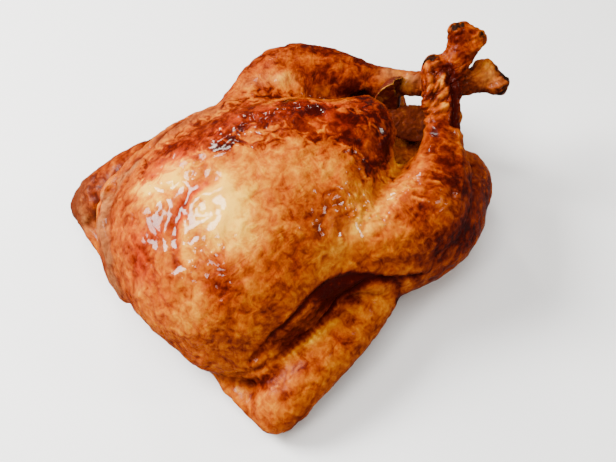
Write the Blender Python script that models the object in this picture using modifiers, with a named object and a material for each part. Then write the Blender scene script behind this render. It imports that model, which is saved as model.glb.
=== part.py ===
"""A roast turkey, trussed and lying on its back, with the aromatics that fill its cavity.

Metres, +Z up. +X runs from the neck to the crossed drumsticks and +Y is the bird's left side.
The origin is under the middle of the bird, on the surface that it lies on.

Every form is swept through stations, rows of sizes in units of a 400th of the span from the neck to
the tips of the legs. The forms melt into one skin by a voxel remesh.
"""

import math

import bmesh
import bpy
import numpy as np
from mathutils import Matrix, Vector

# Driving dimensions.
BIRD_LENGTH = 0.368
UNIT = BIRD_LENGTH / 400
GAP = 0.0005  # between the bird and what lies in its cavity
SNAP = 0.00001  # points this near the plane that the bird lies on are moved onto it

# Colours are linear.
SKIN_COLOUR = (0.40, 0.13, 0.025)
SKIN_ROUGHNESS = 0.35
FRUIT_COLOUR = (0.48, 0.20, 0.04)
FRUIT_ROUGHNESS = 0.45
ONION_COLOUR = (0.26, 0.07, 0.025)
ONION_ROUGHNESS = 0.4

# Fineness of the skin.
SOFT_VOXEL = 4.0 * UNIT
SKIN_VOXEL = 2.6 * UNIT
SOFT_SMOOTHING = 16
SKIN_SMOOTHING = 8
SKIN_TRIANGLES = 8000
DOME_RINGS = 6
BALL_SEGMENTS = 36
BALL_RINGS = 20

# Upright sections of the trunk:
# x, level of the widest line, half width, top, bottom, squareness (2 is an ellipse).
BREAST = [
    (-172, 62, 30, 82, 46, 2.0),
    (-162, 62, 60, 103, 27, 2.1),
    (-145, 63, 86, 122, 12, 2.1),
    (-116, 65, 104, 141, 2, 2.1),
    (-78, 67, 112, 156, -2, 2.1),
    (-40, 69, 111, 162, -4, 2.1),
    (0, 70, 104, 162, -4, 2.1),
    (36, 68, 86, 158, -2, 2.1),
    (66, 68, 57, 151, 4, 2.1),
    (88, 72, 44, 143, 16, 2.2),
    (98, 76, 37, 137, 28, 2.3),
]
BREAST_DOMES = (3, 14)
BACK = [
    (40, 50, 92, 92, -4, 2.2),
    (90, 46, 84, 72, -2, 2.2),
    (130, 44, 66, 62, 4, 2.2),
    (158, 44, 42, 57, 14, 2.2),
]
BACK_DOMES = (10, 14)

# Stations of the swept forms: x, y, z, half width, half height. Those of a pair are the right one.
SHOULDER = [(-128, -62, 50, 36, 32), (-110, -84, 46, 30, 30)]
FAR_SHOULDER = [
    (-104, 98, 82, 21, 21),
    (-77, 91, 103, 21, 21),
    (-56, 89, 110, 20, 21),
    (-36, 86, 115, 19, 20),
    (-12, 85, 114, 18, 20),
]
THIGH = [(-6, -86, 83, 30, 32), (40, -91, 72, 42, 47), (96, -83, 56, 44, 46), (142, -60, 46, 36, 38)]
SKIN_WEB = [(-24, -70, 100, 26, 28), (8, -75, 100, 28, 32), (30, -77, 98, 22, 28)]
RIGHT_DRUMSTICK = [
    (20, -90, 90, 32, 35),
    (70, -92, 97, 37, 38),
    (106, -71, 103, 30, 29),
    (130, -47, 108, 20, 19),
]
LEFT_DRUMSTICK = [(14, 92, 92, 31, 34), (60, 97, 101, 39, 38), (95, 77, 106, 31, 28), (124, 48, 107, 18, 17)]
RIGHT_SHIN = [
    (126, -50, 108, 18, 18),
    (148, -29, 123, 13, 13),
    (166, -11, 137, 12, 12),
    (182, -1, 149, 14, 11),
    (197, 5, 162, 19, 11),
]
LEFT_SHIN = [
    (128, 43, 107, 16, 16),
    (151, 22, 112, 12, 12),
    (178, -10, 122, 12, 12),
    (198, -22, 127, 12, 12),
]
TENDON = [(126, -44, 118, 10, 10), (144, -18, 128, 12, 11), (156, 2, 139, 12, 10), (163, 11, 144, 10, 8)]
TAIL = [(148, 0, 48, 32, 19), (170, 0, 55, 23, 14), (188, 0, 64, 12, 9)]
NECK_FOLD = [
    (-128, -82, 26, 12, 12),
    (-142, -48, 26, 14, 13),
    (-147, 0, 26, 15, 13),
    (-142, 48, 26, 14, 13),
    (-128, 82, 26, 12, 12),
]
NECK_SKIN = [
    (-88, 101, 84, 7, 12),
    (-110, 105, 74, 10, 19),
    (-133, 103, 62, 11, 26),
    (-151, 77, 58, 11, 30),
    (-163, 52, 50, 10, 28),
    (-165, 24, 42, 9, 24),
]
UPPER_WING = [(-106, -96, 44, 28, 24), (-50, -100, 44, 22, 22), (0, -110, 46, 17, 18)]
RIGHT_FOREARM = [
    (10, -118, 53, 14, 14),
    (-23, -125, 49, 21, 21),
    (-75, -133, 41, 24, 23),
    (-114, -139, 29, 25, 19),
    (-129, -139, 21, 22, 13),
]
LEFT_FOREARM = [
    (-7, 111, 64, 15, 16),
    (-40, 119, 60, 21, 22),
    (-92, 128, 51, 24, 24),
    (-131, 133, 38, 24, 20),
    (-147, 135, 28, 21, 15),
]
WING_TIP = [(-128, -126, 16, 16, 11), (-130, -78, 15, 15, 10), (-128, -50, 15, 10, 7)]

# The left limbs lie a little differently from a mirror image of the right ones.
LEFT_WING_SHIFT = (-17, -8, 3)
LEFT_LEG_SHIFT = (-4, 3, 2)

# Rounded ends of the leg bones: centre, then the three radii.
KNUCKLES = [
    (188, 12, 166, 9, 9, 9),
    (204, -2, 159, 8, 9, 9),
    (202, -17, 132, 12, 11, 11),
    (205, -32, 124, 13, 12, 12),
]

# The hollow behind the breast: centre and radii.
CAVITY = (100, 0, 98, 42, 48, 32)

# What fills the cavity. A wedge is cut from a round of the radius given, as far as its core line.
# The middle of the core is at the place given, and one of the cut faces looks along the face given.
FRUIT_RADIUS = 35
FRUIT_ANGLE = math.radians(76)
FRUIT_PLACE = (144, 8, 100)
FRUIT_CORE = (-0.81, 0.59, 0)
FRUIT_FACE = (-0.34, -0.46, 0.82)
ONION_RADIUS = 24
ONION_ANGLE = math.radians(100)
ONION_STRETCH = 1.42
ONION_PLACE = (130, 15, 99)
ONION_CORE = (0, 0, 1)
ONION_FACE = (-0.6, -0.8, 0)
ONION_LEAVES = 3
LEAF = 5.2
LEAF_GAP = 1.2
LEAF_FOOT = math.radians(-48)  # the leaves are joined below this, at the root
LEAF_TIP = math.radians(74)
ROOT = math.radians(-86)
CORE = 1.5  # the innermost leaf stops this far from the core line


def clear_scene():
    for obj in list(bpy.data.objects):
        bpy.data.objects.remove(obj, do_unlink=True)


def spline(rows, count):
    """`count` rows of a Catmull-Rom curve through `rows`."""
    rows = np.asarray(rows, float)
    padded = np.vstack([2 * rows[0] - rows[1], rows, 2 * rows[-1] - rows[-2]])
    curve = []
    for place in np.linspace(0, len(rows) - 1, count):
        start = min(int(place), len(rows) - 2)
        t = place - start
        a, b, c, d = padded[start : start + 4]
        bend = 2 * a - 5 * b + 4 * c - d
        curve.append(0.5 * (2 * b + (c - a) * t + bend * t**2 + (3 * b - a - 3 * c + d) * t**3))
    return np.array(curve)


def skin_over(rings):
    """Points and faces of the closed surface over a row of rings, each with as many points."""
    count = len(rings[0])
    points = [tuple(point) for ring in rings for point in ring]
    faces = []
    for r in range(len(rings) - 1):
        for k in range(count):
            a, b = r * count + k, r * count + (k + 1) % count
            faces.append((a, b, b + count, a + count))
    last = (len(rings) - 1) * count
    faces.append(tuple(reversed(range(count))))
    faces.append(tuple(range(last, last + count)))
    return points, faces


def dome_shares():
    """(reach, size) of the rings that round off an end, from its rim outwards."""
    turns = [k / (DOME_RINGS + 0.5) * math.pi / 2 for k in range(1, DOME_RINGS + 1)]
    return [(math.sin(turn), math.cos(turn)) for turn in turns]


def swept(stations, rings=26, segments=28):
    """A form swept through stations, with domed ends. Its rings lie square to the path."""
    path = spline(np.array(stations) * UNIT, rings)
    heading = np.gradient(path[:, :3], axis=0)
    heading /= np.linalg.norm(heading, axis=1)[:, None]
    rows = [(row[:3], ahead, row[3], row[4]) for row, ahead in zip(path, heading)]
    for end, sign in ((0, -1), (-1, 1)):
        centre, ahead, width, height = rows[end]
        depth = sign * min(width, height)
        dome = []
        for reach, size in dome_shares():
            dome.append((centre + ahead * depth * reach, ahead, width * size, height * size))
        rows = dome[::-1] + rows if sign < 0 else rows + dome
    turns = np.linspace(0, 2 * math.pi, segments, endpoint=False)
    made = []
    for centre, ahead, width, height in rows:
        level = np.cross([0, 0, 1], ahead)
        level /= np.linalg.norm(level)
        rise = np.cross(ahead, level)
        sideways = np.outer(width * np.cos(turns), level)
        upward = np.outer(height * np.sin(turns), rise)
        made.append(centre + sideways + upward)
    return skin_over(made)


def trunk(stations, domes, rings=48, segments=64):
    """Upright superelliptic sections along x, closed at each end by a dome of the depth given."""
    nose, rump = domes
    path = spline(stations, rings)
    rows = [(row[0], row, 1.0) for row in path]
    rows = [(path[0][0] - nose * reach, path[0], size) for reach, size in dome_shares()][::-1] + rows
    rows += [(path[-1][0] + rump * reach, path[-1], size) for reach, size in dome_shares()]
    turns = np.linspace(0, 2 * math.pi, segments, endpoint=False)
    made = []
    for x, (_, level, half, top, bottom, square), size in rows:
        across = np.copysign(np.abs(np.cos(turns)) ** (2 / square), np.cos(turns))
        upward = np.copysign(np.abs(np.sin(turns)) ** (2 / square), np.sin(turns))
        reach = np.where(upward > 0, top - level, level - bottom)
        ring = np.column_stack([np.full(segments, x), half * size * across, level + reach * size * upward])
        made.append(ring * UNIT)
    return skin_over(made)


def ball(x, y, z, radius_x, radius_y, radius_z):
    """An ellipsoid."""
    bm = bmesh.new()
    bmesh.ops.create_uvsphere(bm, u_segments=BALL_SEGMENTS, v_segments=BALL_RINGS, radius=UNIT)
    bmesh.ops.scale(bm, vec=(radius_x, radius_y, radius_z), verts=bm.verts[:])
    bmesh.ops.translate(bm, vec=Vector((x, y, z)) * UNIT, verts=bm.verts[:])
    return points_and_faces(finished(bm, "ball"))


def pair(stations, shift=(0, 0, 0)):
    """A swept form and its mirror image on the left side, the latter moved by `shift`."""
    dx, dy, dz = shift
    left = [(x + dx, dy - y, z + dz, width, height) for x, y, z, width, height in stations]
    return [swept(stations), swept(left)]


def mesh_of(name, forms):
    points, faces = [], []
    for form_points, form_faces in forms:
        base = len(points)
        points += form_points
        faces += [tuple(base + i for i in face) for face in form_faces]
    mesh = bpy.data.meshes.new(name)
    mesh.from_pydata(points, [], faces)
    return mesh


def link(name, mesh, collection=None):
    obj = bpy.data.objects.new(name, mesh)
    (collection or bpy.context.scene.collection).objects.link(obj)
    return obj


def new_collection(name):
    collection = bpy.data.collections.new(name)
    bpy.context.scene.collection.children.link(collection)
    return collection


def material(name, colour, roughness):
    made = bpy.data.materials.new(name)
    made.use_nodes = True
    shader = made.node_tree.nodes["Principled BSDF"]
    shader.inputs["Base Color"].default_value = (*colour, 1)
    shader.inputs["Roughness"].default_value = roughness
    shader.inputs["Metallic"].default_value = 0.0
    return made


def baked(obj):
    """The object's mesh with its modifiers applied. The object is removed."""
    graph = bpy.context.evaluated_depsgraph_get()
    mesh = bpy.data.meshes.new_from_object(obj.evaluated_get(graph))
    bpy.data.objects.remove(obj, do_unlink=True)
    return mesh


def melted(mesh, voxel, smoothing):
    """Overlapping closed forms as one surface, with their joins filled in softly."""
    obj = link("melting", mesh)
    remesh = obj.modifiers.new("one_skin", "REMESH")
    remesh.mode = "VOXEL"
    remesh.voxel_size = voxel
    smooth = obj.modifiers.new("soft_joins", "SMOOTH")
    smooth.factor = 0.5
    smooth.iterations = smoothing
    return baked(obj)


def difference(mesh, cutter_mesh):
    obj = link("cut", mesh)
    cutter = link("cutter", cutter_mesh)
    cut = obj.modifiers.new("cut", "BOOLEAN")
    cut.operation = "DIFFERENCE"
    cut.object = cutter
    result = baked(obj)
    bpy.data.objects.remove(cutter, do_unlink=True)
    return result


def points_and_faces(mesh):
    return [tuple(v.co) for v in mesh.vertices], [tuple(p.vertices) for p in mesh.polygons]


def bird_skin():
    """The whole bird, with the mouth of its cavity."""
    soft = [trunk(BREAST, BREAST_DOMES), trunk(BACK, BACK_DOMES)]
    soft += pair(SHOULDER) + [swept(FAR_SHOULDER)]
    for stations in (THIGH, SKIN_WEB):
        soft += pair(stations, LEFT_LEG_SHIFT)
    soft += [swept(RIGHT_DRUMSTICK), swept(LEFT_DRUMSTICK)]
    body = melted(mesh_of("soft", soft), SOFT_VOXEL, SOFT_SMOOTHING)
    body = difference(body, mesh_of("hollow", [ball(*CAVITY)]))
    firm = [points_and_faces(body), swept(RIGHT_SHIN), swept(LEFT_SHIN), swept(TENDON), swept(TAIL)]
    firm += [swept(NECK_FOLD), swept(NECK_SKIN)]
    for stations in (UPPER_WING, WING_TIP):
        firm += pair(stations, LEFT_WING_SHIFT)
    firm += [swept(RIGHT_FOREARM), swept(LEFT_FOREARM)]
    firm += [ball(*knuckle) for knuckle in KNUCKLES]
    return melted(mesh_of("firm", firm), SKIN_VOXEL, SKIN_SMOOTHING)


def wedge(radius, angle):
    """A slice of a ball, its core along z and its middle along x."""
    bm = bmesh.new()
    bmesh.ops.create_uvsphere(bm, u_segments=BALL_SEGMENTS, v_segments=BALL_RINGS, radius=radius * UNIT)
    for side in (-1, 1):
        outward = Vector((-math.sin(angle / 2), side * math.cos(angle / 2), 0))
        geom = bm.verts[:] + bm.edges[:] + bm.faces[:]
        bmesh.ops.bisect_plane(bm, geom=geom, plane_co=(0, 0, 0), plane_no=outward, clear_outer=True)
        rim = [edge for edge in bm.edges if edge.is_boundary]
        bmesh.ops.holes_fill(bm, edges=rim, sides=0)
    return finished(bm, "wedge")


def arc(radius, start, end, count=12):
    return [(radius * math.cos(t), radius * math.sin(t)) for t in np.linspace(start, end, count)]


def leaved_wedge(radius, angle, stretch, leaves, steps=8):
    """A wedge of nested leaves, open at the tip and joined at the root, which is at the bottom."""
    outline = []
    foot = ROOT
    for leaf in range(leaves):
        outer = radius - leaf * (LEAF + LEAF_GAP)
        outline += arc(outer, foot, LEAF_TIP)
        foot = LEAF_FOOT
        if leaf < leaves - 1:
            outline += arc(outer - LEAF, LEAF_TIP, LEAF_FOOT)
    outline += [(CORE, outline[-1][1]), (CORE, outline[0][1])]
    bm = bmesh.new()
    turn = Matrix.Rotation(-angle / 2, 3, "Z")
    verts = [bm.verts.new(turn @ Vector((x * UNIT, 0, z * stretch * UNIT))) for x, z in outline]
    face = bm.faces.new(verts)
    geom = [face] + list(face.edges) + verts
    bmesh.ops.spin(bm, geom=geom, cent=(0, 0, 0), axis=(0, 0, 1), angle=angle, steps=steps)
    return finished(bm, "leaved_wedge")


def finished(bm, name):
    bmesh.ops.recalc_face_normals(bm, faces=bm.faces[:])
    mesh = bpy.data.meshes.new(name)
    bm.to_mesh(mesh)
    bm.free()
    mesh.shade_smooth()
    return mesh


def coarse(mesh, triangles):
    """The mesh with about as many triangles as given."""
    mesh.calc_loop_triangles()
    count = len(mesh.loop_triangles)
    obj = link("coarse", mesh)
    decimate = obj.modifiers.new("fewer", "DECIMATE")
    decimate.ratio = triangles / count
    return baked(obj)


def flat_below(mesh):
    """The mesh without what lies below z = 0, closed with a flat face."""
    bm = bmesh.new()
    bm.from_mesh(mesh)
    geom = bm.verts[:] + bm.edges[:] + bm.faces[:]
    bmesh.ops.bisect_plane(bm, geom=geom, dist=SNAP, plane_co=(0, 0, 0), plane_no=(0, 0, 1), clear_inner=True)
    bmesh.ops.holes_fill(bm, edges=[edge for edge in bm.edges if edge.is_boundary], sides=0)
    return finished(bm, mesh.name)


def facing(place, along, normal, angle):
    """Where a wedge lies whose core runs along `along` and whose one cut face looks along `normal`."""
    core = Vector(along).normalized()
    face = Vector(normal)
    face = (face - core * face.dot(core)).normalized()
    outward = face.cross(core)
    half = angle / 2
    middle = math.cos(half) * outward - math.sin(half) * face
    matrix = Matrix((middle, core.cross(middle), core)).transposed().to_4x4()
    matrix.translation = Vector(place) * UNIT
    return matrix


def grown(mesh, gap):
    """A copy of the mesh that stands out by `gap`."""
    copy = mesh.copy()
    for vertex, normal in zip(copy.vertices, [Vector(v.normal) for v in mesh.vertices]):
        vertex.co += normal * gap
    return copy


def make_room(obj, neighbour, matrix, cutters):
    """Cuts from `obj` what the mesh `neighbour` would press into, and a gap."""
    cutter = link("room_for_" + neighbour.name, grown(neighbour, GAP), cutters)
    cutter.matrix_world = matrix
    cutter.hide_render = True
    cutter.display_type = "WIRE"
    cut = obj.modifiers.new("room", "BOOLEAN")
    cut.operation = "DIFFERENCE"
    cut.object = cutter


def centre(bird):
    """Moves everything so that the origin is under the middle of the bird."""
    points = np.array([vertex.co for vertex in bird.data.vertices])
    middle = (points.min(axis=0) + points.max(axis=0)) / 2
    for obj in bpy.data.objects:
        obj.location -= Vector((middle[0], middle[1], 0))


def main():
    clear_scene()
    parts = new_collection("roast_turkey")
    cutters = new_collection("cutters")

    bird = link("turkey", flat_below(coarse(bird_skin(), SKIN_TRIANGLES)), parts)
    bird.data.materials.append(material("roast_skin", SKIN_COLOUR, SKIN_ROUGHNESS))

    fruit = link("fruit_wedge", wedge(FRUIT_RADIUS, FRUIT_ANGLE), parts)
    fruit.matrix_world = facing(FRUIT_PLACE, FRUIT_CORE, FRUIT_FACE, FRUIT_ANGLE)
    fruit.data.materials.append(material("roast_fruit", FRUIT_COLOUR, FRUIT_ROUGHNESS))

    onion = link("onion_wedge", leaved_wedge(ONION_RADIUS, ONION_ANGLE, ONION_STRETCH, ONION_LEAVES), parts)
    onion.matrix_world = facing(ONION_PLACE, ONION_CORE, ONION_FACE, ONION_ANGLE)
    onion.data.materials.append(material("roast_onion", ONION_COLOUR, ONION_ROUGHNESS))

    whole_onion = leaved_wedge(ONION_RADIUS, ONION_ANGLE, ONION_STRETCH, 1)
    make_room(fruit, bird.data, bird.matrix_world, cutters)
    make_room(fruit, whole_onion, onion.matrix_world, cutters)
    make_room(onion, bird.data, bird.matrix_world, cutters)
    centre(bird)


main()
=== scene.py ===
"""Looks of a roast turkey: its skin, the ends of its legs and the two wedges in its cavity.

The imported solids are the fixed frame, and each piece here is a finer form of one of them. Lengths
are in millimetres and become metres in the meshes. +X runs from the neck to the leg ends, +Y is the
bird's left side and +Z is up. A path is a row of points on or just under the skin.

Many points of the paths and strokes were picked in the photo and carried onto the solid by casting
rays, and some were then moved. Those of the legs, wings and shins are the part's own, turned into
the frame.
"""

import math

import bmesh
import bpy
import numpy as np
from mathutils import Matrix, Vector, noise


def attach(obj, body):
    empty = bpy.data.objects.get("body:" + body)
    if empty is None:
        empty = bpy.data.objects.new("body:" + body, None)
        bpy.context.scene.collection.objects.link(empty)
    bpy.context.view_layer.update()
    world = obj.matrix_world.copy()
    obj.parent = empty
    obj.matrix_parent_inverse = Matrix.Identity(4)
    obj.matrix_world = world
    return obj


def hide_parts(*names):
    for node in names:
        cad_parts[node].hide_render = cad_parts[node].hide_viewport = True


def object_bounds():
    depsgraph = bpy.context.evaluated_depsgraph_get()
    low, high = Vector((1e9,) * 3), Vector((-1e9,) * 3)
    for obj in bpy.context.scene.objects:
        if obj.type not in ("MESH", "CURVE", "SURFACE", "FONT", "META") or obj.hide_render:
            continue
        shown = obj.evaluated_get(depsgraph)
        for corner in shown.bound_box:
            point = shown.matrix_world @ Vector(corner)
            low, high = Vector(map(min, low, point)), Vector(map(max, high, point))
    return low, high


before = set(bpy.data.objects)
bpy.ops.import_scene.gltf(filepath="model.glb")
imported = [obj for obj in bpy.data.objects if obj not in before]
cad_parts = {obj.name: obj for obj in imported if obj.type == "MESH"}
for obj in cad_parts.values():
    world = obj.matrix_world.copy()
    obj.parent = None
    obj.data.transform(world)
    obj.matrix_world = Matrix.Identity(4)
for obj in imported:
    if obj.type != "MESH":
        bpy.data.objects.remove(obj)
cad_low, cad_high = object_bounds()

MM = 0.001

# Grain of the meshes. The skin's edges are halved where its relief is fine, and twice where finest.
SKIN_VOXEL = 2.25
WEDGE_VOXEL = 0.9
SMOOTHING = 8
WEDGE_SMOOTHING = 3
WELD = 0.002

# The skin is split where this is passed. The bare ends of the legs pass it more readily.
SPLIT_LIMIT = 0.6
BARE_WEIGHT = 3

# How softly the relief is held inside the frame's box.
MARGIN = 1.6

# Forms that the relief, the browning and the painted shade and light follow.
KEEL = [
    (-118, 55, 124),
    (-103, 56, 129),
    (-75, 51, 137),
    (-40, 46, 141),
    (-1, 34, 142),
    (36, 16, 138),
    (70, 1, 125),
]
RUMP_EDGE = [(66, 18, 122), (64, -11, 126), (51, -24, 123), (34, -37, 122), (11, -53, 124)]
FURROW = [(-89, 10, 144), (-106, 13, 138), (-120, 12, 132), (-128, 5, 129), (-136, -4, 124), (-147, -22, 114)]
FURROW_BRANCH = [(-112, 18, 135), (-120, 28, 131), (-137, 46, 116), (-146, 57, 105)]
HOLLOW = [(-100, 10, 140), (-115, 12, 134), (-133, 2, 125), (-152, 14, 112), (-164, 4, 100)]
LOBES = [(-100, -14, 138), (-118, -24, 131), (-132, -34, 121), (-138, -50, 112)]
BLISTER = (-97, 29, 139)
NECK_SKIN = [
    (-119, 89, 100),
    (-130, 93, 88),
    (-148, 88, 80),
    (-163, 70, 79),
    (-171, 56, 75),
    (-177, 42, 64),
    (-179, 30, 45),
]
NECK_CREASE = [
    (-60, 94, 118),
    (-80, 95, 115),
    (-102, 91, 110),
    (-123, 94, 96),
    (-144, 95, 80),
    (-162, 84, 72),
    (-170, 68, 62),
]
FOLD_END = [(42, -44, 105), (30, -51, 110)]
HIP_FOLD = [(-12, -66, 122), (0, -69, 119), (4, -80, 117)]
HIP = [(-53, -84, 108), (-35, -79, 114), (-7, -78, 116), (7, -73, 117), (31, -66, 118), (56, -60, 118)]
RIGHT_LEG = [(-1, -80, 83), (45, -82, 89), (78, -62, 95), (100, -40, 99)]
LEFT_LEG = [(-7, 88, 85), (36, 92, 93), (68, 74, 98), (95, 47, 98)]
RIGHT_WING = [(-10, -106, 49), (-41, -112, 45), (-89, -119, 38), (-124, -125, 27), (-138, -125, 19)]
LEFT_WING = [(-26, 105, 59), (-56, 113, 55), (-104, 121, 47), (-140, 125, 35), (-155, 127, 26)]
# Legs and wings, each with how far its rings reach. The fade is how softly they end, and the spacing
# keeps two limbs from having the same rings.
LIMBS = ((RIGHT_LEG, 46), (LEFT_LEG, 46), (RIGHT_WING, 26), (LEFT_WING, 26))
LIMB_FADE = 10
LIMB_SPACING = 300
LEFT_TIP = [(-160, 112, 60), (-163, 118, 40), (-158, 130, 28)]
PLEAT_PITCH = 5
PLEATS = [(-126, -108, 51), (-106, -108, 56), (-86, -107, 59), (-62, -104, 66)]
WING_GROOVE = [
    (-142, -90, 37),
    (-130, -102, 50),
    (-97, -103, 56),
    (-76, -101, 58),
    (-54, -99, 66),
    (-40, -99, 75),
    (-28, -102, 81),
    (-15, -107, 80),
    (-4, -113, 73),
    (-1, -117, 60),
    (-3, -119, 48),
]
WING_RIM = [(-110, -108, 55), (-82, -108, 60), (-64, -106, 64), (-48, -105, 67), (-32, -107, 69)]
ELBOW = (-22, -110, 68)
BREAST_CREASE = [
    (-133, -95, 55),
    (-109, -96, 74),
    (-80, -95, 91),
    (-57, -92, 95),
    (-34, -97, 90),
    (-13, -109, 81),
    (16, -118, 71),
]
STREAK_WIDTH = 1.5
LEG_STREAKS = [
    [(43, -65, 121), (50, -71, 123)],
    [(37, -72, 122), (45, -82, 124)],
    [(33, -81, 122), (40, -91, 122)],
    [(53, -75, 124), (60, -84, 122)],
    [(62, -66, 121), (67, -75, 121)],
]
LEG_RIDGE = [
    (122, -26, 125),
    (116, -39, 116),
    (105, -53, 112),
    (92, -71, 115),
    (80, -87, 114),
    (56, -107, 109),
]

# Bare ends of the legs: the middles of the shins, and the planes where the skin stops.
RIGHT_SHIN = [(96, -43, 99), (117, -24, 113), (133, -7, 126), (148, 2, 137), (162, 8, 149)]
LEFT_SHIN = [(98, 43, 98), (119, 23, 103), (144, -6, 112), (163, -17, 117)]
SHIN_REACH = 27
LEFT_SHIN_REACH = 24
RIGHT_CUFF = ((102, -30, 109), (0.62, 0.62, 0.47))
LEFT_CUFF = ((122, 22, 103), (0.66, -0.70, 0.27))
SINEWS = [
    [(129, 6, 138), (121, 8, 136), (113, -4, 131), (103, -13, 122)],
    [(127, -6, 135), (117, -9, 131), (107, -10, 125), (100, -13, 116)],
    [(121, -16, 130), (112, -17, 127), (103, -18, 118)],
    [(112, -26, 124), (104, -24, 119), (97, -23, 110)],
]
SINEW_WIDTH = 3.2
GAP = [(131, -3, 138), (127, -20, 129), (117, -34, 120), (107, -46, 114)]
KNUCKLES = [(153, 15, 160), (164, -3, 156), (169, -18, 129), (168, -32, 118)]
HOLLOWS = [(157, -2, 153), (160, -26, 123)]
CHARRED = [
    ([(150, 16, 160), (156, 13, 161)], 6),
    ((166, -4, 157), 5),
    ([(174, -20, 128), (175, -32, 119), (163, -37, 110)], 4.5),
    ([(131, 13, 138), (124, 16, 134)], 4.5),
]

# Where the mesh is finer than elsewhere: path or point, and reach.
FINE = [(BLISTER, 16), (KEEL[3:], 12), (LEG_STREAKS[1], 20), (HIP_FOLD, 12), (SINEWS[1], 22)]
FINEST = [(SINEWS[1], 18)]

# The wedges are cut from round shapes. The onion's is stretched upward.
FRUIT_CENTRE = (113, 10.5, 92)
FRUIT_RADIUS = 32.2
ONION_CENTRE = (100, 17, 91)
ONION_RADIUS = 22
ONION_STRETCH = 1.42
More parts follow.
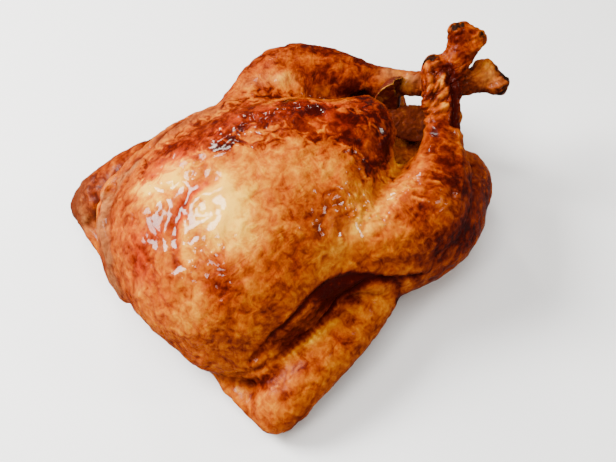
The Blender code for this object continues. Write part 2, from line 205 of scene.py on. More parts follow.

# Browning, painted shade and painted light by place: path or point, reach, and how much browner or darker
# (or, below 0, lighter) than the rest.
BROWNING_AND_PAINTED_LIGHT = [
    (RUMP_EDGE[:4], 8, 0.22),
    ([(70, 45, 105), (57, 15, 130), (55, -5, 133), (55, -18, 126)], 9, 0.20),
    ([(-22, -52, 136), (-27, -64, 128), (-31, -76, 117)], 12, 0.12),
    ([(-49, -58, 133), (-49, -69, 126)], 8, 0.26),
    ([(-15, -20, 146), (-14, -30, 143)], 7, -0.16),
    ([(-112, -38, 130), (-124, -46, 121), (-136, -62, 104)], 10, 0.18),
    ([(-92, -66, 123), (-78, -78, 114)], 10, 0.10),
    ((-126, -85, 87), 9, 0.10),
    ([(53, -54, 114), (32, -72, 119), (15, -88, 117)], 8, 0.10),
    ([(-15, 80, 122), (3, 72, 121)], 8, 0.10),
    ([(-155, 42, 103), (-140, 34, 118)], 8, 0.10),
    ([(2, -50, 130), (4, -58, 123), (-9, -62, 124)], 9, -0.10),
    ([(20, -46, 124), (10, -44, 131)], 6, 0.12),
    ([(61, -86, 121), (49, -98, 118), (38, -107, 110)], 10, -0.14),
    ([(-116, -5, 134), (-129, -4, 127), (-137, -22, 121)], 8, -0.22),
    ([(-172, -5, 87), (-170, -25, 87)], 9, -0.14),
    ((14, 19, 143), 6, 0.34),
    ((36, 1, 140), 6, 0.28),
    ((4, 47, 135), 5, 0.28),
    ([(8, 58, 126), (11, 68, 119)], 4, 0.26),
    ((-2, 31, 144), 4, 0.12),
    ((57, 21, 128), 5, 0.20),
    ((-67, 25, 146), 5, 0.26),
    ((-4, -7, 147), 4, 0.20),
    ([(-18, 50, 139), (-8, 50, 137)], 6, -0.22),
    ((31, 24, 137), 5, -0.24),
    ((28, 10, 141), 4, -0.20),
    ([(2, 12, 146), (5, 0, 146)], 4, -0.18),
    ((-42, 52, 140), 5, -0.16),
    ((5, -15, 145), 5, 0.18),
    ((23, -24, 137), 5, 0.18),
    ((18, -38, 132), 5, 0.18),
    ([(31, -3, 141), (17, 21, 142), (-1, 22, 145)], 4, 0.14),
    ([(-69, 30, 145), (-61, 30, 146), (-41, 40, 144)], 4, 0.16),
    ((17, -14, 143), 4, 0.2),
    ((-66, -33, 143), 4, 0.14),
    ((-102, -10, 139), 3, 0.30),
    # Lighter on the window side of the breast: paler skin, and a painted highlight where the glare falls.
    ([(-108, 46, 130), (-111, 33, 133), (-128, 44, 120)], 14, -0.58),
    ([(-100, -4, 140), (-107, -16, 137), (-112, -36, 130)], 13, -0.56),
    ([(-84, 0, 144), (-90, -22, 141), (-95, -48, 134)], 13, -0.26),
    ([(-88, 8, 143), (-80, -20, 144), (-50, -10, 148), (-21, -28, 145)], 18, -0.14),
    ([(-117, 63, 120), (-99, 48, 134), (-90, 44, 138)], 8, -0.18),
    ([(-140, -42, 110), (-157, -50, 90), (-160, -44, 75)], 14, -0.16),
    ([(32, -29, 130), (36, -34, 122)], 8, -0.22),
    ((54, -110, 103), 14, -0.08),
    ((58, 80, 124), 7, -0.26),
    ((9, 104, 119), 9, -0.22),
    ([(-92, 92, 113), (-63, 89, 121), (-44, 85, 123)], 6, 0.16),
    ([(-163, 116, 34), (-161, 109, 27)], 8, -0.24),
    (HIP, 9, -0.26),
    ([(-12, -64, 125), (-8, -76, 118), (-22, -82, 114)], 8, -0.12),
    ([(-6, 92, 120), (14, 85, 123), (26, 78, 122)], 7, -0.24),
    # Darker in the groove above the wing: painted shade.
    (WING_GROOVE[5:], 4.5, 0.24),
    # Lighter along the wing's top rim: painted light where the breast's shadow falls.
    (WING_RIM, 4.5, -0.38),
    # Darker on the drumette, along the breast crease and in the gap between wing and breast: painted shade.
    ([(-96, -98, 68), (-75, -99, 74), (-52, -97, 76)], 6, 0.14),
    ([(-91, -96, 86), (-75, -95, 91), (-56, -94, 90)], 5, 0.16),
    (BREAST_CREASE, 4, 0.28),
    ([(-60, -96, 84), (-38, -99, 81)], 10, 0.40),
    ((-128, -109, 42), 5, 0.22),
    ((-53, -112, 63), 5, 0.22),
    ((-59, -127, 59), 5, 0.24),
    ((-78, -125, 60), 5, 0.20),
    ((-96, -111, 55), 4, 0.18),
    ((-101, -124, 56), 5, 0.24),
    ((-67, -122, 61), 6, 0.24),
    ((-50, -115, 63), 4, 0.20),
    ((-32, -112, 64), 5, 0.20),
    ((-124, -130, 45), 4, 0.22),
    ((-92, -132, 53), 4, 0.22),
    ([(-23, -65, 126), (-55, -66, 128), (-101, -79, 110)], 14, -0.06),
    ((-71, -72, 122), 6, 0.14),
    ((-124, -39, 124), 5, 0.14),
    ((-138, -52, 111), 5, 0.12),
    ((-110, -83, 101), 6, 0.12),
    ((-138, -84, 73), 8, 0.14),
    # Darker on the drumette, below the breast: painted shade.
    ((-97, -99, 66), 9, 0.12),
    ([(40, -98, 118), (65, -82, 120), (80, -58, 117)], 18, 0.27),
    # Lighter on the near leg's left flank: painted light against the rump's shadow.
    ([(56, -36, 101), (47, -42, 104), (36, -48, 107)], 7, -0.20),
    ([(34, -43, 115), (24, -48, 118)], 6, -0.20),
    ((-101, -79, 109), 16, 0.06),
    ([(44, 73, 119), (59, 62, 118), (71, 48, 110)], 12, 0.20),
    ((4, 86, 120), 9, 0.22),
    ((23, 69, 117), 7, -0.20),
    ((-3, 106, 113), 8, -0.20),
    ([(-90, -128, 52), (-40, -118, 58), (-5, -112, 60)], 14, -0.14),
    # Darker low on the near leg's right side, away from the window: painted shade.
    ([(85, -72, 112), (65, -112, 95), (30, -120, 85)], 22, 0.12),
    (LEFT_LEG, 34, 0.06),
    ([(10, 108, 116), (50, 105, 120), (100, 55, 112)], 16, 0.28),
    # Darker on the rear of the near thigh: painted shade.
    ([(125, -60, 75), (104, -88, 76), (60, -110, 75)], 30, 0.21),
    ((95, -38, 118), 8, 0.30),
    ([(111, -14, 128), (106, -10, 125)], 5, 0.18),
    ((154, 4, 155), 8, 0.16),
    ((140, -4, 142), 7, -0.16),
    ((166, -18, 128), 8, -0.22),
    (RIGHT_WING, 24, 0.16),
    ([(-142, -128, 20), (-132, -122, 38)], 14, -0.14),
    ([(-128, 50, 118), (-132, 30, 122)], 10, -0.06),
    (LEFT_WING, 26, 0.44),
    (NECK_SKIN, 11, 0.08),
    # Darker in the mouth of the cavity: painted shade.
    ((74, 2, 92), 26, 0.40),
    # Darker along the furrows, the hollow, the neck crease and the pleats: painted shade in the creases.
    (FURROW, 3.0, 0.12),
    (HOLLOW, 10, 0.04),
    (FURROW_BRANCH, 3.0, 0.10),
    (NECK_CREASE, 2.2, 0.30),
    (PLEATS, 4, 0.10),
]
SEARED = [
    ([(-114, 60, 122), (-86, 53, 135), (-50, 51, 139), (-12, 44, 141)], 19, 0.9),
    ([(-104, 74, 118), (-60, 74, 126), (-20, 73, 124), (12, 69, 119)], 15, 0.5),
    ([(-5, 40, 141), (15, 15, 144), (28, -15, 139), (34, -34, 127)], 24, 0.9),
    ([(-8, 54, 135), (12, 56, 128)], 8, -0.7),
    ((32, 10, 142), 4, -0.8),
    ([(-71, 37, 143), (-61, 26, 147), (-43, 16, 149), (-20, 8, 149), (-6, 2, 148)], 9, 0.45),
    ([(60, 25, 122), (57, -5, 131)], 10, 0.35),
    ((-60, 52, 137), 6, -0.5),
]
REDDENED = [
    (KEEL, 15, 0.50),
    ([(15, 15, 144), (28, -15, 139), (34, -34, 127)], 20, 0.30),
    ([(-160, 26, 102), (-167, 1, 96), (-163, -18, 92)], 16, 0.45),
    ([(-16, -30, 144), (-25, -62, 129), (-31, -76, 117)], 14, 0.25),
    ([(-112, -38, 130), (-124, -46, 121), (-136, -62, 104)], 10, 0.35),
    ([(-92, -66, 123), (-78, -78, 114)], 12, 0.2),
    ((95, -38, 118), 9, 0.4),
    ((154, 4, 155), 9, 0.3),
    (RIGHT_WING, 28, -0.22),
    ([(104, -88, 90), (60, -110, 85)], 20, 0.3),
    (FURROW, 4, 0.5),
    (HOLLOW, 10, 0.6),
    (FURROW_BRANCH, 3, 0.3),
    ([(19, -88, 119), (40, -100, 115)], 14, 0.10),
    ((-101, -124, 56), 7, 0.4),
    ((-67, -122, 61), 8, 0.4),
    ((-131, -108, 38), 7, 0.4),
]
PALE = [
    ([(-2, 96, 117), (14, 85, 123), (30, 74, 121)], 6, 0.30),
    ([(102, 41, 113), (118, 18, 112)], 8, 0.8),
    ([(-164, 118, 30), (-151, 136, 40)], 14, 1.0),
    ([(-92, 92, 113), (-63, 89, 121), (-44, 85, 123)], 8, 0.5),
    ([(-140, 118, 55), (-120, 112, 75)], 10, 0.3),
    ([(150, -12, 118), (168, -26, 122)], 12, 0.45),
]
WET = [
    ([(-125, 50, 122), (-115, 10, 132), (-100, -20, 138), (-142, -15, 118)], 24, 0.6),
    (KEEL, 16, 0.36),
    (HIP, 15, 0.9),
    (HIP_FOLD, 10, 0.8),
]
DAMP = 0.22


def points_of(mesh):
    """The mesh's points, in millimetres."""
    flat = np.empty(len(mesh.vertices) * 3, np.float32)
    mesh.vertices.foreach_get("co", flat)
    return flat.reshape(-1, 3).astype(float) / MM


def move_points(mesh, points):
    mesh.vertices.foreach_set("co", (points * MM).astype(np.float32).ravel())
    mesh.update()


def normals_of(mesh):
    flat = np.empty(len(mesh.vertices) * 3, np.float32)
    mesh.vertex_normals.foreach_get("vector", flat)
    return flat.reshape(-1, 3).astype(float)


def edges_of(mesh):
    flat = np.empty(len(mesh.edges) * 2, np.int32)
    mesh.edges.foreach_get("vertices", flat)
    return flat.reshape(-1, 2)


def spread(values, edges, rounds):
    """Values of the points, each averaged with its neighbours' a number of times."""
    a, b = edges.T
    count = len(values)
    degree = np.bincount(edges.ravel(), minlength=count)
    for _ in range(rounds):
        total = np.bincount(a, values[b], count) + np.bincount(b, values[a], count)
        values = 0.5 * values + 0.5 * total / degree
    return values


def relaxed(points, edges, rounds):
    """Smoothed points. Each step in is followed by a step out, so that thin forms keep their size."""
    a, b = edges.T
    count = len(points)
    degree = np.bincount(edges.ravel(), minlength=count)
    for step in range(2 * rounds):
        pull = 0.5 if step % 2 == 0 else -0.52
        moved = []
        for axis in range(3):
            line = points[:, axis]
            total = np.bincount(a, line[b], count) + np.bincount(b, line[a], count)
            moved.append(line + pull * (total / degree - line))
        points = np.column_stack(moved)
    return points


def distance(points, path):
    """How far each point is from a path."""
    path = np.array(path, float)
    best = np.full(len(points), np.inf)
    for start, end in zip(path, path[1:]):
        run = end - start
        share = np.clip((points - start) @ run / (run @ run), 0, 1)
        gap = np.linalg.norm(points - start - share[:, None] * run, axis=1)
        best = np.minimum(best, gap)
    return best


def along(points, path):
    """How far along a path each point is."""
    path = np.array(path, float)
    best = np.full(len(points), np.inf)
    place = np.zeros(len(points))
    passed = 0.0
    for start, end in zip(path, path[1:]):
        run = end - start
        length = np.linalg.norm(run)
        share = np.clip((points - start) @ run / length**2, 0, 1)
        gap = np.linalg.norm(points - start - share[:, None] * run, axis=1)
        place = np.where(gap < best, passed + share * length, place)
        best = np.minimum(best, gap)
        passed += length
    return place


def near(points, path, reach):
    """1 on a path or at a single point, fading to nothing at about twice the reach."""
    if np.ndim(path) == 1:
        gap = np.linalg.norm(points - np.array(path, float), axis=1)
    else:
        gap = distance(points, path)
    return np.exp(-((gap / reach) ** 2))


def near_any(points, places):
    """How near the points are to the nearest of some places, each a path or point with its reach."""
    return np.maximum.reduce([near(points, path, reach) for path, reach in places])


def added(points, strokes):
    """Strokes added up. Each is a path or point, its reach and its amount."""
    return sum(amount * near(points, path, reach) for path, reach, amount in strokes)


def strongest(points, strokes):
    """The strongest of the same kind of strokes at each point."""
    return np.maximum.reduce([amount * near(points, path, reach) for path, reach, amount in strokes])


def ramp(values, low, high):
    """0 at low and below, 1 at high and above, and smooth between."""
    t = np.clip((values - low) / (high - low), 0, 1)
    return t * t * (3 - 2 * t)


def lumps(points, size, seed=0):
    """Smooth noise from about -1 to 1, with lumps of about that size."""
    shift = Vector((17.3, 5.1, 9.7)) * seed
    return 2 * np.array([noise.noise(Vector(p) / size + shift) for p in points])


def blisters(points, size, seed=0):
    """0 in the valleys between round bubbles of about that size, and 1 on their tops."""
    shift = Vector((3.7, 11.9, 7.3)) * seed
    gaps = [noise.voronoi(Vector(p) / size + shift)[0] for p in points]
    return np.clip([min(gap[1] - gap[0], 0.5) * 2 for gap in gaps], 0, 1)


def linked(name, data):
    obj = bpy.data.objects.new(name, data)
    bpy.context.scene.collection.objects.link(obj)
    return obj


def frame_copy(node, name):
    """A new object with a solid of the frame, its corners welded."""
    bm = bmesh.new()
    bm.from_mesh(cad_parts[node].data)
    bmesh.ops.remove_doubles(bm, verts=bm.verts[:], dist=WELD * MM)
    mesh = bpy.data.meshes.new(name)
    bm.to_mesh(mesh)
    bm.free()
    return linked(name, mesh)


def settle(obj):
    """Applies an object's modifiers."""
    graph = bpy.context.evaluated_depsgraph_get()
    mesh = bpy.data.meshes.new_from_object(obj.evaluated_get(graph))
    obj.modifiers.clear()
    obj.data = mesh
    return obj


def refined(obj, chosen):
    """Splits the edges whose two points are chosen."""
    bm = bmesh.new()
    bm.from_mesh(obj.data)
    edges = [e for e in bm.edges if chosen[e.verts[0].index] and chosen[e.verts[1].index]]
    bmesh.ops.subdivide_edges(bm, edges=edges, cuts=1, use_grid_fill=True)
    bm.to_mesh(obj.data)
    bm.free()


def paint(mesh, name, values):
    """Keeps a number for each point of a mesh, for its material to read."""
    layer = mesh.attributes.new(name, "FLOAT", "POINT")
    layer.data.foreach_set("value", np.asarray(values, np.float32))


def skin_piece():
    """The bird's skin, finer than the frame's solid, with its relief."""
    obj = frame_copy("turkey", "turkey_skin")
    rounding = obj.modifiers.new("rounding", "SUBSURF")
    rounding.levels = rounding.render_levels = 1
    remeshed(obj, SKIN_VOXEL)
    move_points(obj.data, relaxed(points_of(obj.data), edges_of(obj.data), SMOOTHING))
    points = points_of(obj.data)
    refined(obj, np.maximum(BARE_WEIGHT * bareness(points), near_any(points, FINE)) > SPLIT_LIMIT)
    refined(obj, near_any(points_of(obj.data), FINEST) > SPLIT_LIMIT)
    carve(obj.data)
    paint_skin(obj.data)
    return obj


def beyond(points, cuff):
    """How far points are past the plane where a leg's skin stops."""
    place, out = cuff
    return (points - np.array(place, float)) @ np.array(out)


def bareness(points):
    """1 on the bare ends of the legs and 0 on the skin."""
    right = ramp(beyond(points, RIGHT_CUFF), -2, 2) * (distance(points, RIGHT_SHIN) < SHIN_REACH)
    left = ramp(beyond(points, LEFT_CUFF), -2, 2) * (distance(points, LEFT_SHIN) < LEFT_SHIN_REACH)
    return np.maximum(right, left) * ramp(points[:, 2], 88, 94)


def remeshed(obj, voxel):
    melt = obj.modifiers.new("melt", "REMESH")
    melt.mode = "VOXEL"
    melt.voxel_size = voxel * MM
    return settle(obj)


def valleys(mesh, rounds):
    """How far the skin lies below its surroundings, in millimetres. Rounds set how wide these are."""
    points = points_of(mesh)
    edges = edges_of(mesh)
    around = np.column_stack([spread(points[:, axis], edges, rounds) for axis in range(3)])
    return np.einsum("ij,ij->i", around - points, normals_of(mesh))


def creases(points, size, seed, width=0.12):
    """1 along thin wandering lines about that size apart, and 0 between them."""
    return np.exp(-((lumps(points, size, seed) / width) ** 2))


def held_in(points):
    """Points kept inside the frame's box, those close to its sides and top pressed in gently."""
    low, high = np.array(cad_low) / MM, np.array(cad_high) / MM
    over = np.maximum(points - (high - MARGIN), 0)
    under = np.maximum((low + MARGIN) - points, 0)
    under[:, 2] = 0
    points = points - over + MARGIN * (1 - np.exp(-over / MARGIN))
    points = points + under - MARGIN * (1 - np.exp(-under / MARGIN))
    return np.clip(points, low, high)


def carve(mesh):
    """Works the roasted relief into the skin."""
    points = points_of(mesh)
    up = normals_of(mesh)
    bare = bareness(points)
    height = (1 - bare) * skin_relief(points) + bare * bone_relief(points)
    loose = ramp(points[:, 2], 2, 14)
    move_points(mesh, held_in(points + up * (height * loose)[:, None]))


def skin_relief(points):
    """How far the skin stands above the smooth solid. Noise takes a size and a seed."""
    height = 0.8 * lumps(points, 30, 1) + 0.5 * lumps(points, 12, 2) + 0.30 * lumps(points, 6, 3)
    height -= 0.7 * creases(points, 22, 4) + 0.45 * creases(points, 11, 5, 0.16)
    bent = points + 5 * np.column_stack([lumps(points, 14, seed) for seed in (6, 7, 8)])
    keel = near(points, KEEL, 15)
    height += keel * (
        1.1 * blisters(bent, 12, 1) - 0.45 + 0.5 * lumps(points, 5, 9) + 0.16 * lumps(points, 3, 30)
    )
    height += near(points, RUMP_EDGE, 7) * (1.4 + 0.7 * lumps(points, 7, 10))
    for path, depth in ((FURROW, 1.6), (FURROW_BRANCH, 1.0)):
        gap = distance(bent * 0.5 + points * 0.5, path)
        height += 0.7 * np.exp(-(((gap - 9) / 4) ** 2)) - depth * np.exp(-((gap / 5) ** 2))
    bubble = np.linalg.norm(points - np.array(BLISTER), axis=1)
    height += 1.3 * np.exp(-((bubble / 8) ** 2)) - 1.1 * np.exp(-(((bubble - 11) / 2) ** 2))
    height += 0.5 * near(points, BLISTER, 10) * creases(points, 6, 11, 0.3)
    fan = np.column_stack([points[:, 0] * 0.35, points[:, 1], points[:, 2]])
    height += near(points, LOBES, 20) * (0.35 * lumps(fan, 5, 28) - 0.35 * creases(bent, 9, 29, 0.2))
    height += 0.8 * ramp(9 + 3 * lumps(points, 11, 27) - distance(points, NECK_SKIN), 0, 5)
    height -= 2.4 * near(points, NECK_CREASE, 3)
    height -= 3.0 * near(points, WING_GROOVE, 2.8) + 2.2 * near(points, BREAST_CREASE, 2.6)
    height += 2.6 * near(points, ELBOW, 9) + 2.5 * near(points, FOLD_END, 7)
    height += 1.2 * near(points, LEG_RIDGE, 2.5) * ramp(points[:, 0], 58, 75)
    height += near(points, LEFT_TIP, 20) * (0.9 * lumps(points, 8, 32) - 0.8 * creases(points, 9, 33, 0.2))
    height += 0.7 * streaks(points) + 0.7 * near(points, HIP_FOLD, 13) * lumps(points, 3.5, 31)
    height += near(points, PLEATS, 5) * 0.8 * np.sin(along(points, PLEATS) * 2 * np.pi / PLEAT_PITCH)
    for limb, reach in LIMBS:
        on = ramp(reach - distance(points, limb), 0, LIMB_FADE)
        rings = np.column_stack([along(points, limb) * 3, points[:, 1], points[:, 2]])
        height += 0.4 * on * lumps(rings, 16, 12)
    for cuff, shin in ((RIGHT_CUFF, RIGHT_SHIN), (LEFT_CUFF, LEFT_SHIN)):
        lip = np.exp(-(((beyond(points, cuff) + 4) / 3) ** 2)) * (distance(points, shin) < SHIN_REACH)
        height += 1.5 * lip * (0.6 + lumps(points, 8, 13))
    return height


def streaks(points):
    """1 on the short wrinkles across the near leg, raised and painted lighter as glints."""
    return np.maximum.reduce([near(points, streak, STREAK_WIDTH) for streak in LEG_STREAKS])


def sinew_gap(points, sinew):
    """How far points are from a sinew, whose width wavers."""
    return distance(points, sinew) * (1 + 0.35 * lumps(points, 7, 20))


def bone_relief(points):
    """Sinews, frayed skin and knuckles on the ends of the legs."""
    height = 0.6 * lumps(points, 10, 14) + 0.2 * lumps(points, 4, 15) - 0.5 * creases(points, 9, 16, 0.15)
    for sinew in SINEWS:
        gap = sinew_gap(points, sinew)
        ridge = 2.4 * np.exp(-((gap / SINEW_WIDTH) ** 2))
        height += ridge - np.exp(-(((gap - 1.7 * SINEW_WIDTH) / 1.2) ** 2))
    height -= 3.4 * near(points, GAP, 3.0)
    for shin in (RIGHT_SHIN, LEFT_SHIN):
        fibres = np.column_stack([along(points, shin) * 0.2, points[:, 1], points[:, 2]])
        on = distance(points, shin) < 22
        height += 0.5 * on * (lumps(fibres, 4, 17) - creases(fibres, 6, 18, 0.2))
    for knuckle in KNUCKLES:
        height += near(points, knuckle, 7) * (1.0 + 1.8 * lumps(points, 4.5, 19))
    for hollow in HOLLOWS:
        height -= 3.2 * near(points, hollow, 5)
    return height


def paint_skin(mesh):
    """Paints how brown, seared, red, pale, wet and charred the skin is, and the way its grain runs. The brown
    holds painted shade and light.
    """
    points = points_of(mesh)
    up = normals_of(mesh)
    bare = bareness(points)
    # Lighter on faces turned up and darker on faces turned down: painted light and shade.
    brown = 0.66 - 0.10 * ramp(up[:, 2], 0.1, 0.95) + 0.08 * ramp(-up[:, 2], 0.0, 0.8) + 0.16 * bare
    # Browning from the strokes, with their painted shade and painted light.
    brown += added(points, BROWNING_AND_PAINTED_LIGHT)
    # Darker in hollows and creases and a little lighter on bulges: painted shade and light.
    brown += np.clip(0.09 * valleys(mesh, 4) + 0.05 * valleys(mesh, 40), -0.12, 0.30)
    # Lighter on the leg's wrinkle streaks: painted glints.
    brown -= 0.22 * streaks(points)
    seared = added(points, SEARED)
    red = 0.04 - 0.15 * bare + added(points, REDDENED)
    pale = strongest(points, PALE)
    flap = 9 + 4 * lumps(points, 11, 27) - distance(points, NECK_SKIN)
    pale = np.maximum(pale, ramp(flap, -3, 7))
    wet = DAMP + (1 - DAMP) * strongest(points, WET)
    char = np.zeros(len(points))
    for sinew in SINEWS:
        gap = sinew_gap(points, sinew)
        on = bare * np.exp(-((gap / (0.7 * SINEW_WIDTH)) ** 2))
        brown -= (0.22 + 0.3 * lumps(points, 6, 26)) * on
        pale = np.maximum(pale, 0.4 * on)
    # Darker in the gap between the sinews: painted shade. The hollows are paler.
    brown += bare * (0.65 * near(points, GAP, 4.5) - 0.25 * sum(near(points, h, 5) for h in HOLLOWS))
    for path, reach in CHARRED:
        char = np.maximum(char, bare * near(points, path, reach))
    limb = np.zeros(len(points))
    shank = np.zeros(len(points))
    for number, (path, reach) in enumerate(LIMBS):
        on = ramp(reach - distance(points, path), 0, LIMB_FADE)
        shank = np.where(on > limb, along(points, path) + LIMB_SPACING * number, shank)
        limb = np.maximum(limb, on)
    wet *= (1 - bare) * (1 - 0.6 * limb) * (1 - near(points, RIGHT_WING, 30))
    wet -= 0.30 * near(points, RIGHT_WING, 30) + 0.25 * near(points, NECK_SKIN, 18)
    wet -= 0.30 * near(points, LEFT_WING, 34) * ramp(-points[:, 0], 90, 120)
    painted = dict(brown=brown, seared=seared, red=red, pale=pale, wet=wet, char=char, limb=limb)
    painted["shank"] = shank
    for name, values in painted.items():
        paint(mesh, name, values)
    mesh.shade_smooth()


# A Mix node's sockets for colours. They share their names with those for numbers.
MIX_A = 6
MIX_B = 7
MIX_RESULT = 2
CLOUD_ROUGHNESS = 0.55


class Tree:
    """A material's node tree, with short ways to add to it."""

    def __init__(self, name):
        self.material = bpy.data.materials.new(name)
        self.material.use_nodes = True
        self.nodes = self.material.node_tree.nodes
        self.links = self.material.node_tree.links
        self.shader = self.nodes["Principled BSDF"]

    def put(self, socket, value):
        if isinstance(value, bpy.types.NodeSocket):
            self.links.new(value, socket)
        else:
            socket.default_value = value

    def painted(self, name):
        node = self.nodes.new("ShaderNodeAttribute")
        node.attribute_name = name
        return node.outputs["Fac"]

    def place(self):
        return self.nodes.new("ShaderNodeTexCoord").outputs["Object"]

    def cloud(self, size, detail=3.0, warp=0.0):
        """Noise with lumps of a size in millimetres, from 0 to 1."""
        node = self.nodes.new("ShaderNodeTexNoise")
        self.put(node.inputs["Vector"], self.place())
        node.inputs["Scale"].default_value = 1 / (size * MM)
        node.inputs["Detail"].default_value = detail
        node.inputs["Roughness"].default_value = CLOUD_ROUGHNESS
        node.inputs["Distortion"].default_value = warp
        return node.outputs["Fac"]

    def stretched(self, sizes):
        """Object coordinates for noise whose lumps have those sizes, in millimetres."""
        node = self.nodes.new("ShaderNodeMapping")
        self.put(node.inputs["Vector"], self.place())
        node.inputs["Scale"].default_value = [1 / (size * MM) for size in sizes]
        return node.outputs["Vector"]

    def ringed(self, pitch, length):
        """Coordinates for noise in rings round a limb, a pitch apart and broken into lengths."""
        split = self.nodes.new("ShaderNodeSeparateXYZ")
        self.put(split.inputs[0], self.place())
        join = self.nodes.new("ShaderNodeCombineXYZ")
        self.put(join.inputs[0], self.math("MULTIPLY", self.painted("shank"), 1 / pitch))
        self.put(join.inputs[1], self.math("MULTIPLY", split.outputs[1], 1 / (length * MM)))
        self.put(join.inputs[2], self.math("MULTIPLY", split.outputs[2], 1 / (length * MM)))
        return join.outputs[0]

    def wrinkles(self, where):
        """Soft ridges with sharp creases between them, from 0 to 1."""
        node = self.nodes.new("ShaderNodeTexNoise")
        self.put(node.inputs["Vector"], where)
        node.inputs["Scale"].default_value = 1.0
        node.inputs["Detail"].default_value = 2.0
        node.inputs["Distortion"].default_value = 0.4
        off = self.math("ABSOLUTE", self.math("SUBTRACT", node.outputs["Fac"], 0.5))
        return self.math("POWER", self.math("MULTIPLY", off, 2.0), 0.6)

    def add(self, value, noise_value, amount):
        """A value with noise of 0 to 1 added, centred on nothing and scaled."""
        centred = self.math("SUBTRACT", noise_value, 0.5)
        return self.math("MULTIPLY_ADD", centred, amount, value)

    def mix_numbers(self, share, a, b):
        node = self.nodes.new("ShaderNodeMix")
        self.put(node.inputs["Factor"], share)
        self.put(node.inputs["A"], a)
        self.put(node.inputs["B"], b)
        return node.outputs["Result"]

    def math(self, kind, a, b=0.0, c=0.0):
        node = self.nodes.new("ShaderNodeMath")
        node.operation = kind
        for socket, value in zip(node.inputs, (a, b, c)):
            self.put(socket, value)
        return node.outputs[0]

    def fit(self, value, low, high, new_low=0.0, new_high=1.0):
        """Maps low to high onto new_low to new_high, and cuts off what is outside."""
        node = self.nodes.new("ShaderNodeMapRange")
        for name, number in zip(("From Min", "From Max", "To Min", "To Max"), (low, high, new_low, new_high)):
            self.put(node.inputs[name], number)
        self.put(node.inputs["Value"], value)
        return node.outputs[0]

    def colours(self, value, stops):
        """A colour ramp through (place, colour) stops."""
        node = self.nodes.new("ShaderNodeValToRGB")
        node.color_ramp.interpolation = "B_SPLINE" if len(stops) > 4 else "LINEAR"
        band = node.color_ramp.elements
        while len(band) < len(stops):
            band.new(0.5)
        for stop, (place, colour) in zip(band, stops):
            stop.position = place
            stop.color = (*colour, 1)
        self.put(node.inputs["Fac"], value)
        return node.outputs["Color"]

    def blend(self, share, a, b):
        node = self.nodes.new("ShaderNodeMix")
        node.data_type = "RGBA"
        self.put(node.inputs["Factor"], share)
        self.put(node.inputs[MIX_A], a)
        self.put(node.inputs[MIX_B], b)
        return node.outputs[MIX_RESULT]

    def bump(self, height, depth, below=None):
        """A relief of a depth in millimetres, on top of another."""
        node = self.nodes.new("ShaderNodeBump")
        node.inputs["Distance"].default_value = depth * MM
        self.put(node.inputs["Height"], height)
        if below is not None:
            self.put(node.inputs["Normal"], below)
        return node.outputs["Normal"]


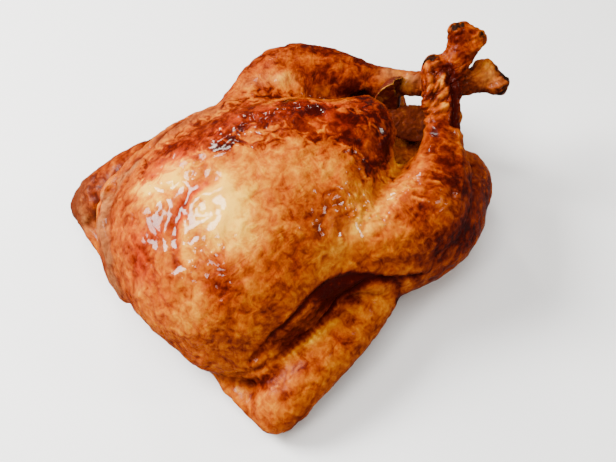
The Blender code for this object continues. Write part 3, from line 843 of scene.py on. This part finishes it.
def roast_skin():
    """Glazed, browned skin, with painted shade and light carried in its brown. Its colour goes from pale gold
    through amber to dark brown.
    """
    tree = Tree("roast_skin")
    middle = tree.cloud(9, 4, warp=1.1)
    small = tree.cloud(3.2, 3)
    wrinkled = skin_wrinkles(tree)
    brown = tree.add(tree.painted("brown"), tree.cloud(26, 3), 0.46)
    brown = tree.add(brown, middle, 0.72)
    brown = tree.add(brown, small, 0.26)
    seared = tree.add(tree.painted("seared"), tree.cloud(9, 4, warp=1.0), 1.6)
    seared = tree.fit(seared, 0.34, 0.66)
    brown = tree.math("MULTIPLY_ADD", seared, 0.22, brown)
    # Darker in the wrinkles' creases and lighter on their ridges: painted shade.
    brown = tree.add(brown, wrinkled, -0.22)
    golden = tree.colours(brown, [
        (0.00, (0.82, 0.46, 0.040)),
        (0.20, (0.62, 0.280, 0.006)),
        (0.40, (0.43, 0.122, 0.001)),
        (0.60, (0.28, 0.043, 0.0006)),
        (0.80, (0.10, 0.0055, 0.0004)),
        (1.00, (0.017, 0.0007, 0.0003)),
    ])
    ruddy = tree.colours(brown, [
        (0.00, (0.64, 0.20, 0.015)),
        (0.20, (0.53, 0.11, 0.003)),
        (0.40, (0.42, 0.050, 0.001)),
        (0.60, (0.26, 0.018, 0.0008)),
        (0.80, (0.09, 0.0035, 0.0005)),
        (1.00, (0.014, 0.0006, 0.0003)),
    ])
    red = tree.math("MULTIPLY_ADD", seared, 0.35, tree.painted("red"))
    red = tree.add(red, tree.cloud(14, 3), 1.3)
    colour = tree.blend(tree.fit(red, 0.0, 1.0), golden, ruddy)
    matte = tree.colours(brown, [
        (0.15, (0.48, 0.245, 0.085)),
        (0.45, (0.31, 0.125, 0.038)),
        (0.85, (0.12, 0.024, 0.006)),
    ])
    pale = tree.painted("pale")
    pale = tree.math("MULTIPLY", pale, tree.fit(middle, 0.30, 0.60, 0.45, 1.0))
    colour = tree.blend(pale, colour, matte)
    char = tree.fit(tree.add(tree.painted("char"), small, 1.4), 0.45, 0.85)
    colour = tree.blend(char, colour, (0.014, 0.005, 0.003, 1))
    tree.put(tree.shader.inputs["Base Color"], colour)
    rough = tree.fit(middle, 0.35, 0.65, 0.24, 0.40)
    rough = tree.math("MULTIPLY_ADD", tree.painted("wet"), -0.11, rough)
    rough = tree.math("MULTIPLY_ADD", tree.painted("limb"), 0.10, rough)
    rough = tree.math("MULTIPLY_ADD", pale, 0.3, rough)
    tree.put(tree.shader.inputs["Roughness"], rough)
    relief = tree.bump(wrinkled, 0.6, tree.bump(small, 0.22))
    tree.put(tree.shader.inputs["Normal"], tree.bump(tree.cloud(1.6, 2), 0.22, relief))
    tree.shader.inputs["Specular IOR Level"].default_value = 0.03
    tree.shader.inputs["Subsurface Weight"].default_value = 0.08
    tree.shader.inputs["Subsurface Radius"].default_value = (0.006, 0.002, 0.0006)
    wet = tree.add(tree.painted("wet"), middle, 0.9)
    tree.put(tree.shader.inputs["Coat Weight"], tree.fit(wet, 0.0, 1.0, 0.02, 0.8))
    tree.shader.inputs["Coat Roughness"].default_value = 0.08
    return tree.material


def skin_wrinkles(tree):
    """Wrinkles in patches: across and along the breast, and round the legs and wings."""
    across = tree.wrinkles(tree.stretched((4.2, 15, 11)))
    lengthways = tree.wrinkles(tree.stretched((13, 4.4, 7)))
    body = tree.mix_numbers(tree.fit(tree.cloud(24, 2), 0.42, 0.58), across, lengthways)
    rings = tree.wrinkles(tree.ringed(3.4, 11))
    wrinkled = tree.mix_numbers(tree.painted("limb"), body, rings)
    return tree.mix_numbers(tree.fit(tree.cloud(15, 2), 0.40, 0.62), 0.5, wrinkled)


def wedge_piece(node, name):
    """A wedge of the cavity, finer than the frame's solid, with soft edges."""
    obj = remeshed(frame_copy(node, name), WEDGE_VOXEL)
    move_points(obj.data, relaxed(points_of(obj.data), edges_of(obj.data), WEDGE_SMOOTHING))
    return obj


def press_in(obj, points, height):
    """Works relief into a wedge, inward only, so that the wedge never grows."""
    move_points(obj.data, points + normals_of(obj.data) * np.minimum(height, 0)[:, None])


def fruit_piece():
    """A soft wedge of roasted fruit: amber flesh, and a rind on its round back."""
    obj = wedge_piece("fruit_wedge", "fruit")
    points = points_of(obj.data)
    reach = np.linalg.norm(points - np.array(FRUIT_CENTRE), axis=1) / FRUIT_RADIUS
    fibres = np.column_stack([reach * 12, points[:, 1], points[:, 2]])
    height = -0.25 + 0.25 * lumps(points, 9, 21) + 0.2 * lumps(fibres, 3, 22) - 0.25 * creases(points, 8, 23)
    press_in(obj, points, height)
    paint(obj.data, "rind", ramp(reach, 0.90, 0.96))
    paint(obj.data, "reach", reach)
    obj.data.shade_smooth()
    return obj


def onion_piece():
    """A wedge of roasted onion, its leaves ribbed along their length."""
    obj = wedge_piece("onion_wedge", "onion")
    points = points_of(obj.data)
    away = points - np.array(ONION_CENTRE)
    turn = np.arctan2(away[:, 1], away[:, 0])
    reach = np.linalg.norm(away / (1, 1, ONION_STRETCH), axis=1) / ONION_RADIUS
    ribs = np.sin(turn * 34 + 1.5 * lumps(points, 12, 24))
    press_in(obj, points, -0.25 + 0.12 * ribs + 0.2 * lumps(points, 7, 25))
    paint(obj.data, "reach", reach)
    paint(obj.data, "turn", turn)
    paint(obj.data, "edge", np.clip(-valleys(obj.data, 3) * 4, 0, 1))
    obj.data.shade_smooth()
    return obj


def roast_fruit():
    """Amber flesh with darker fibres out from the core, and a dark red-brown rind, both partly darkened as
    painted shade of the cavity.
    """
    tree = Tree("roast_fruit")
    blotch = tree.cloud(8, 4, warp=0.8)
    fibre = tree.cloud(2.2, 3, warp=0.5)
    tone = tree.add(tree.add(0.5, blotch, 1.1), fibre, 0.5)
    tone = tree.math("MULTIPLY_ADD", tree.painted("reach"), 0.15, tone)
    # The flesh and rind are kept dark: their own colour, partly darkened as painted shade of the cavity.
    flesh = tree.colours(tone, [
        (0.2, (0.22, 0.050, 0.003)),
        (0.5, (0.095, 0.012, 0.001)),
        (0.9, (0.035, 0.003, 0.001)),
    ])
    rind = tree.colours(tone, [
        (0.2, (0.20, 0.020, 0.004)),
        (0.8, (0.040, 0.004, 0.002)),
    ])
    edge = tree.fit(tree.add(tree.painted("rind"), fibre, 0.7), 0.4, 0.6)
    tree.put(tree.shader.inputs["Base Color"], tree.blend(edge, flesh, rind))
    tree.put(tree.shader.inputs["Roughness"], tree.fit(blotch, 0.3, 0.7, 0.32, 0.55))
    tree.put(tree.shader.inputs["Normal"], tree.bump(fibre, 0.5, tree.bump(blotch, 0.8)))
    tree.shader.inputs["Specular IOR Level"].default_value = 0.12
    tree.shader.inputs["Subsurface Weight"].default_value = 0.1
    tree.shader.inputs["Subsurface Radius"].default_value = (0.005, 0.002, 0.0006)
    return tree.material


def roast_onion():
    """Dark red-brown leaves with amber edges and fine ribs."""
    tree = Tree("roast_onion")
    blotch = tree.cloud(7, 4, warp=0.8)
    rib = tree.math("SINE", tree.math("MULTIPLY", tree.painted("turn"), 90.0))
    tone = tree.math("MULTIPLY_ADD", rib, 0.10, tree.add(0.55, blotch, 1.3))
    leaf = tree.colours(tone, [
        (0.1, (0.28, 0.075, 0.008)),
        (0.45, (0.10, 0.010, 0.004)),
        (0.9, (0.030, 0.003, 0.002)),
    ])
    edge = tree.fit(tree.add(tree.painted("edge"), blotch, 0.8), 0.35, 0.8)
    tree.put(tree.shader.inputs["Base Color"], tree.blend(edge, leaf, (0.46, 0.19, 0.025, 1)))
    tree.put(tree.shader.inputs["Roughness"], tree.fit(blotch, 0.3, 0.7, 0.28, 0.5))
    tree.put(tree.shader.inputs["Normal"], tree.bump(rib, 0.15, tree.bump(blotch, 0.6)))
    tree.shader.inputs["Specular IOR Level"].default_value = 0.12
    return tree.material


def dressed(obj, material, node):
    """Gives a piece its material, and puts it in the place of a frame's solid."""
    obj.data.materials.clear()
    obj.data.materials.append(material)
    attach(obj, "root")
    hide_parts(node)


# Camera and light. Lengths here are in metres, and those of the lens and the film in millimetres.
CAMERA_AZIMUTH = math.radians(-36)
CAMERA_HEIGHT = math.radians(55)
CAMERA_DISTANCE = 0.966
CAMERA_LENS = 68.0
FILM_WIDTH = 36.0
DAYLIGHT = (1.0, 0.965, 0.90)
LAMPLIGHT = (1.0, 0.92, 0.80)
LOOKED_AT = (-0.02411, -0.02159, 0.0552)
LIT = (0, 0, 0.06)
SKY_STRENGTH = 0.13
FLOOR_SIZE = 16.0


def facing(obj, place, target):
    obj.location = place
    obj.rotation_mode = "QUATERNION"
    obj.rotation_quaternion = (Vector(target) - Vector(place)).to_track_quat("-Z", "Y")


def direction(azimuth, height):
    """Towards a place round the object: azimuth 0 is at -Y, and 90 is at +X."""
    flat = math.cos(height)
    return Vector((math.sin(azimuth) * flat, -math.cos(azimuth) * flat, math.sin(height)))


def make_camera():
    data = bpy.data.cameras.new("camera")
    data.lens = CAMERA_LENS
    data.sensor_width = FILM_WIDTH
    camera = linked("camera", data)
    place = Vector(LOOKED_AT) + direction(CAMERA_AZIMUTH, CAMERA_HEIGHT) * CAMERA_DISTANCE
    facing(camera, place, LOOKED_AT)
    bpy.context.scene.camera = camera


def soft_light(name, azimuth, height, away, size, power, colour):
    """A rectangular lamp, its azimuth and height in degrees, aimed at the bird."""
    data = bpy.data.lights.new(name, "AREA")
    data.shape = "RECTANGLE"
    data.size, data.size_y = size
    data.energy = power
    data.color = colour
    lamp = linked(name, data)
    facing(lamp, direction(math.radians(azimuth), math.radians(height)) * away, LIT)
    return lamp


def make_studio():
    world = bpy.data.worlds.new("studio")
    bpy.context.scene.world = world
    world.use_nodes = True
    sky = world.node_tree.nodes["Background"]
    sky.inputs["Color"].default_value = (0.95, 0.97, 1.0, 1)
    sky.inputs["Strength"].default_value = SKY_STRENGTH
    soft_light("window", -135, 44, 1.6, (0.7, 0.7), 78, DAYLIGHT)
    soft_light("ceiling", -50, 78, 2.0, (1.2, 1.2), 40, DAYLIGHT).visible_glossy = False
    soft_light("back window", 165, 36, 1.6, (0.22, 0.16), 8, LAMPLIGHT)
    soft_light("front window", 52, 43, 1.6, (0.28, 0.28), 9, LAMPLIGHT)
    soft_light("side window", -74, 48, 1.6, (0.22, 0.22), 5, LAMPLIGHT)
    bpy.ops.mesh.primitive_plane_add(size=FLOOR_SIZE)
    floor = bpy.context.object
    floor.name = "floor"
    paper = Tree("floor")
    paper.shader.inputs["Base Color"].default_value = (0.93, 0.955, 1.0, 1)
    paper.shader.inputs["Roughness"].default_value = 0.7
    floor.data.materials.append(paper.material)
    floor.visible_glossy = False


make_camera()
make_studio()
dressed(skin_piece(), roast_skin(), "turkey")
dressed(fruit_piece(), roast_fruit(), "fruit_wedge")
dressed(onion_piece(), roast_onion(), "onion_wedge")
